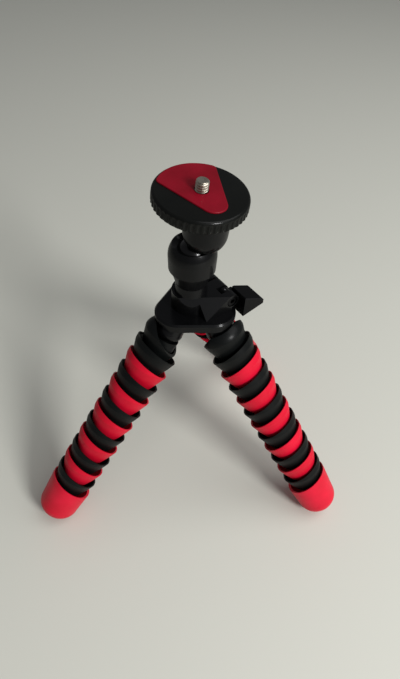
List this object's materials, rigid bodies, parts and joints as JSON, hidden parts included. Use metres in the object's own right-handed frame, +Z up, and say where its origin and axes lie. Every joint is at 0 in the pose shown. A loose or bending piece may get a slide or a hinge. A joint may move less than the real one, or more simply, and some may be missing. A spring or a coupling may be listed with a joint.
{
  "type": "tripod",
  "caption": "Small flexible table tripod: bendable legs of nested cups, a split base with a clamp lever, and a ball head with a round platform and a camera screw.",
  "frame": {"origin": "on the ground, in the middle of the footprint of the spread legs", "axes": "+Z up, +Y towards the arm of the back leg, +X to the right for someone facing the two front legs"},
  "size_m": [0.1998, 0.1562, 0.2236],
  "materials": {
    "body_black": "satin",
    "disc_black": "matte",
    "cup_black": "matte",
    "cup_red": "matte",
    "foot_red": "matte",
    "pad_red": "matte",
    "ball_black": "polished",
    "nylon": "satin",
    "steel": "zinc plated",
    "steel_bright": "turned",
    "steel_dark": "blackened"
  },
  "bodies": {
    "base": {"base_lower": "body_black", "base_upper": "body_black", "base_screws": "steel", "clamp_washer": "steel", "clamp_nut": "steel"},
    "swivel": {"goblet": "body_black", "cup_liner": "nylon", "ball_ring": "body_black", "pan_washer": "steel", "pan_screw": "steel"},
    "head": {"ball_stem": "ball_black", "platform_hub": "body_black", "retaining_ring": "steel", "thrust_washer": "nylon"},
    "platform": {"platform_disc": "disc_black", "rubber_pad": "pad_red", "camera_screw": "steel_bright"},
    "lever": {"clamp_lever": "body_black", "lever_pin": "steel", "clamp_screw": "steel_dark"},
    "left_shoulder": {"left_shoulder": "cup_black"},
    "left_cup_01": {"left_cup_01": "cup_black"},
    "left_cup_02": {"left_cup_02": "cup_red"},
    "left_cup_03": {"left_cup_03": "cup_black"},
    "left_cup_04": {"left_cup_04": "cup_red"},
    "left_cup_05": {"left_cup_05": "cup_black"},
    "left_cup_06": {"left_cup_06": "cup_red"},
    "left_cup_07": {"left_cup_07": "cup_black"},
    "left_cup_08": {"left_cup_08": "cup_red"},
    "left_cup_09": {"left_cup_09": "cup_black"},
    "left_cup_10": {"left_cup_10": "cup_red"},
    "left_cup_11": {"left_cup_11": "cup_black"},
    "left_foot": {"left_foot": "foot_red"},
    "right_shoulder": {"right_shoulder": "cup_black"},
    "right_cup_01": {"right_cup_01": "cup_black"},
    "right_cup_02": {"right_cup_02": "cup_red"},
    "right_cup_03": {"right_cup_03": "cup_black"},
    "right_cup_04": {"right_cup_04": "cup_red"},
    "right_cup_05": {"right_cup_05": "cup_black"},
    "right_cup_06": {"right_cup_06": "cup_red"},
    "right_cup_07": {"right_cup_07": "cup_black"},
    "right_cup_08": {"right_cup_08": "cup_red"},
    "right_cup_09": {"right_cup_09": "cup_black"},
    "right_cup_10": {"right_cup_10": "cup_red"},
    "right_cup_11": {"right_cup_11": "cup_black"},
    "right_foot": {"right_foot": "foot_red"},
    "back_shoulder": {"back_shoulder": "cup_black"},
    "back_cup_01": {"back_cup_01": "cup_black"},
    "back_cup_02": {"back_cup_02": "cup_red"},
    "back_cup_03": {"back_cup_03": "cup_black"},
    "back_cup_04": {"back_cup_04": "cup_red"},
    "back_cup_05": {"back_cup_05": "cup_black"},
    "back_cup_06": {"back_cup_06": "cup_red"},
    "back_cup_07": {"back_cup_07": "cup_black"},
    "back_cup_08": {"back_cup_08": "cup_red"},
    "back_cup_09": {"back_cup_09": "cup_black"},
    "back_cup_10": {"back_cup_10": "cup_red"},
    "back_cup_11": {"back_cup_11": "cup_black"},
    "back_foot": {"back_foot": "foot_red"}
  },
  "joints": [
    {"name": "head_pan", "type": "hinge", "parent": "base", "child": "swivel", "pos_m": [-0.0026, -0.01484, 0.14582], "axis": [0, 0, 1], "continuous": true},
    {"name": "head_tilt", "type": "hinge", "parent": "swivel", "child": "head", "pos_m": [-0.0026, -0.01484, 0.17952], "axis": [0.7314, 0.682, 0], "range_deg": [-38, 28]},
    {"name": "platform_turn", "type": "hinge", "parent": "head", "child": "platform", "pos_m": [-0.00011, -0.01751, 0.21744], "axis": [0.0654, -0.0701, 0.9954], "continuous": true},
    {"name": "lever_swing", "type": "hinge", "parent": "base", "child": "lever", "pos_m": [0.01061, -0.00626, 0.15227], "axis": [0.5446, -0.8387, 0], "range_deg": [0, 80]},
    {"name": "left_bend_01", "type": "hinge", "parent": "base", "child": "left_shoulder", "pos_m": [-0.01552, -0.0238, 0.13092], "axis": [-0.5, 0.866, 0], "range_deg": [-7, 7]},
    {"name": "left_bend_02", "type": "hinge", "parent": "left_shoulder", "child": "left_cup_01", "pos_m": [-0.02071, -0.0268, 0.1223], "axis": [0.7111, 0.4106, -0.5707], "range_deg": [-7, 7]},
    {"name": "left_bend_03", "type": "hinge", "parent": "left_cup_01", "child": "left_cup_02", "pos_m": [-0.0259, -0.02979, 0.11367], "axis": [-0.5, 0.866, 0], "range_deg": [-7, 7]},
    {"name": "left_bend_04", "type": "hinge", "parent": "left_cup_02", "child": "left_cup_03", "pos_m": [-0.03109, -0.03279, 0.10505], "axis": [0.7111, 0.4106, -0.5707], "range_deg": [-7, 7]},
    {"name": "left_bend_05", "type": "hinge", "parent": "left_cup_03", "child": "left_cup_04", "pos_m": [-0.03628, -0.03579, 0.09643], "axis": [-0.5, 0.866, 0], "range_deg": [-7, 7]},
    {"name": "left_bend_06", "type": "hinge", "parent": "left_cup_04", "child": "left_cup_05", "pos_m": [-0.04147, -0.03878, 0.08781], "axis": [0.7111, 0.4106, -0.5707], "range_deg": [-7, 7]},
    {"name": "left_bend_07", "type": "hinge", "parent": "left_cup_05", "child": "left_cup_06", "pos_m": [-0.04666, -0.04178, 0.07919], "axis": [0.5, -0.866, 0], "range_deg": [-7, 7]},
    {"name": "left_bend_08", "type": "hinge", "parent": "left_cup_06", "child": "left_cup_07", "pos_m": [-0.05185, -0.04477, 0.07056], "axis": [-0.7111, -0.4106, 0.5707], "range_deg": [-7, 7]},
    {"name": "left_bend_09", "type": "hinge", "parent": "left_cup_07", "child": "left_cup_08", "pos_m": [-0.05704, -0.04777, 0.06194], "axis": [0.5, -0.866, 0], "range_deg": [-7, 7]},
    {"name": "left_bend_10", "type": "hinge", "parent": "left_cup_08", "child": "left_cup_09", "pos_m": [-0.06223, -0.05077, 0.05332], "axis": [-0.7111, -0.4106, 0.5707], "range_deg": [-7, 7]},
    {"name": "left_bend_11", "type": "hinge", "parent": "left_cup_09", "child": "left_cup_10", "pos_m": [-0.06742, -0.05376, 0.0447], "axis": [0.5, -0.866, 0], "range_deg": [-7, 7]},
    {"name": "left_bend_12", "type": "hinge", "parent": "left_cup_10", "child": "left_cup_11", "pos_m": [-0.07261, -0.05676, 0.03607], "axis": [-0.7111, -0.4106, 0.5707], "range_deg": [-7, 7]},
    {"name": "left_bend_13", "type": "hinge", "parent": "left_cup_11", "child": "left_foot", "pos_m": [-0.07779, -0.05976, 0.02745], "axis": [-0.5, 0.866, 0], "range_deg": [-7, 7]},
    {"name": "right_bend_01", "type": "hinge", "parent": "base", "child": "right_shoulder", "pos_m": [0.01552, -0.0238, 0.13092], "axis": [-0.5, -0.866, 0], "range_deg": [-7, 7]},
    {"name": "right_bend_02", "type": "hinge", "parent": "right_shoulder", "child": "right_cup_01", "pos_m": [0.02071, -0.0268, 0.1223], "axis": [-0.7111, 0.4106, -0.5707], "range_deg": [-7, 7]},
    {"name": "right_bend_03", "type": "hinge", "parent": "right_cup_01", "child": "right_cup_02", "pos_m": [0.0259, -0.02979, 0.11367], "axis": [-0.5, -0.866, 0], "range_deg": [-7, 7]},
    {"name": "right_bend_04", "type": "hinge", "parent": "right_cup_02", "child": "right_cup_03", "pos_m": [0.03109, -0.03279, 0.10505], "axis": [-0.7111, 0.4106, -0.5707], "range_deg": [-7, 7]},
    {"name": "right_bend_05", "type": "hinge", "parent": "right_cup_03", "child": "right_cup_04", "pos_m": [0.03628, -0.03579, 0.09643], "axis": [-0.5, -0.866, 0], "range_deg": [-7, 7]},
    {"name": "right_bend_06", "type": "hinge", "parent": "right_cup_04", "child": "right_cup_05", "pos_m": [0.04147, -0.03878, 0.08781], "axis": [-0.7111, 0.4106, -0.5707], "range_deg": [-7, 7]},
    {"name": "right_bend_07", "type": "hinge", "parent": "right_cup_05", "child": "right_cup_06", "pos_m": [0.04666, -0.04178, 0.07919], "axis": [0.5, 0.866, 0], "range_deg": [-7, 7]},
    {"name": "right_bend_08", "type": "hinge", "parent": "right_cup_06", "child": "right_cup_07", "pos_m": [0.05185, -0.04477, 0.07056], "axis": [0.7111, -0.4106, 0.5707], "range_deg": [-7, 7]},
    {"name": "right_bend_09", "type": "hinge", "parent": "right_cup_07", "child": "right_cup_08", "pos_m": [0.05704, -0.04777, 0.06194], "axis": [0.5, 0.866, 0], "range_deg": [-7, 7]},
    {"name": "right_bend_10", "type": "hinge", "parent": "right_cup_08", "child": "right_cup_09", "pos_m": [0.06223, -0.05077, 0.05332], "axis": [0.7111, -0.4106, 0.5707], "range_deg": [-7, 7]},
    {"name": "right_bend_11", "type": "hinge", "parent": "right_cup_09", "child": "right_cup_10", "pos_m": [0.06742, -0.05376, 0.0447], "axis": [0.5, 0.866, 0], "range_deg": [-7, 7]},
    {"name": "right_bend_12", "type": "hinge", "parent": "right_cup_10", "child": "right_cup_11", "pos_m": [0.07261, -0.05676, 0.03607], "axis": [0.7111, -0.4106, 0.5707], "range_deg": [-7, 7]},
    {"name": "right_bend_13", "type": "hinge", "parent": "right_cup_11", "child": "right_foot", "pos_m": [0.07779, -0.05976, 0.02745], "axis": [-0.5, -0.866, 0], "range_deg": [-7, 7]},
    {"name": "back_bend_01", "type": "hinge", "parent": "base", "child": "back_shoulder", "pos_m": [0, 0.00308, 0.13092], "axis": [0.9903, -0.1392, 0], "range_deg": [-7, 7]},
    {"name": "back_bend_02", "type": "hinge", "parent": "back_shoulder", "child": "back_cup_01", "pos_m": [0.00083, 0.00901, 0.1223], "axis": [-0.2263, -0.7893, -0.5707], "range_deg": [-7, 7]},
    {"name": "back_bend_03", "type": "hinge", "parent": "back_cup_01", "child": "back_cup_02", "pos_m": [0.00249, 0.01477, 0.11367], "axis": [0.9135, -0.4067, 0], "range_deg": [-7, 7]},
    {"name": "back_bend_04", "type": "hinge", "parent": "back_cup_02", "child": "back_cup_03", "pos_m": [0.00492, 0.02025, 0.10505], "axis": [-0.4351, -0.6964, -0.5707], "range_deg": [-7, 7]},
    {"name": "back_bend_05", "type": "hinge", "parent": "back_cup_03", "child": "back_cup_04", "pos_m": [0.0081, 0.02533, 0.09643], "axis": [0.766, -0.6428, 0], "range_deg": [-7, 7]},
    {"name": "back_bend_06", "type": "hinge", "parent": "back_cup_04", "child": "back_cup_05", "pos_m": [0.01195, 0.02992, 0.08781], "axis": [-0.6102, -0.5495, -0.5707], "range_deg": [-7, 7]},
    {"name": "back_bend_07", "type": "hinge", "parent": "back_cup_05", "child": "back_cup_06", "pos_m": [0.0164, 0.03393, 0.07919], "axis": [-0.6691, 0.7431, 0], "range_deg": [-7, 7]},
    {"name": "back_bend_08", "type": "hinge", "parent": "back_cup_06", "child": "back_cup_07", "pos_m": [0.02086, 0.03794, 0.07056], "axis": [0.6102, 0.5495, 0.5707], "range_deg": [-7, 7]},
    {"name": "back_bend_09", "type": "hinge", "parent": "back_cup_07", "child": "back_cup_08", "pos_m": [0.02531, 0.04195, 0.06194], "axis": [-0.6691, 0.7431, 0], "range_deg": [-7, 7]},
    {"name": "back_bend_10", "type": "hinge", "parent": "back_cup_08", "child": "back_cup_09", "pos_m": [0.02976, 0.04596, 0.05332], "axis": [0.6102, 0.5495, 0.5707], "range_deg": [-7, 7]},
    {"name": "back_bend_11", "type": "hinge", "parent": "back_cup_09", "child": "back_cup_10", "pos_m": [0.03422, 0.04997, 0.0447], "axis": [-0.6691, 0.7431, 0], "range_deg": [-7, 7]},
    {"name": "back_bend_12", "type": "hinge", "parent": "back_cup_10", "child": "back_cup_11", "pos_m": [0.03867, 0.05398, 0.03607], "axis": [0.6102, 0.5495, 0.5707], "range_deg": [-7, 7]},
    {"name": "back_bend_13", "type": "hinge", "parent": "back_cup_11", "child": "back_foot", "pos_m": [0.04312, 0.05799, 0.02745], "axis": [0.6691, -0.7431, 0], "range_deg": [-7, 7]}
  ]
}
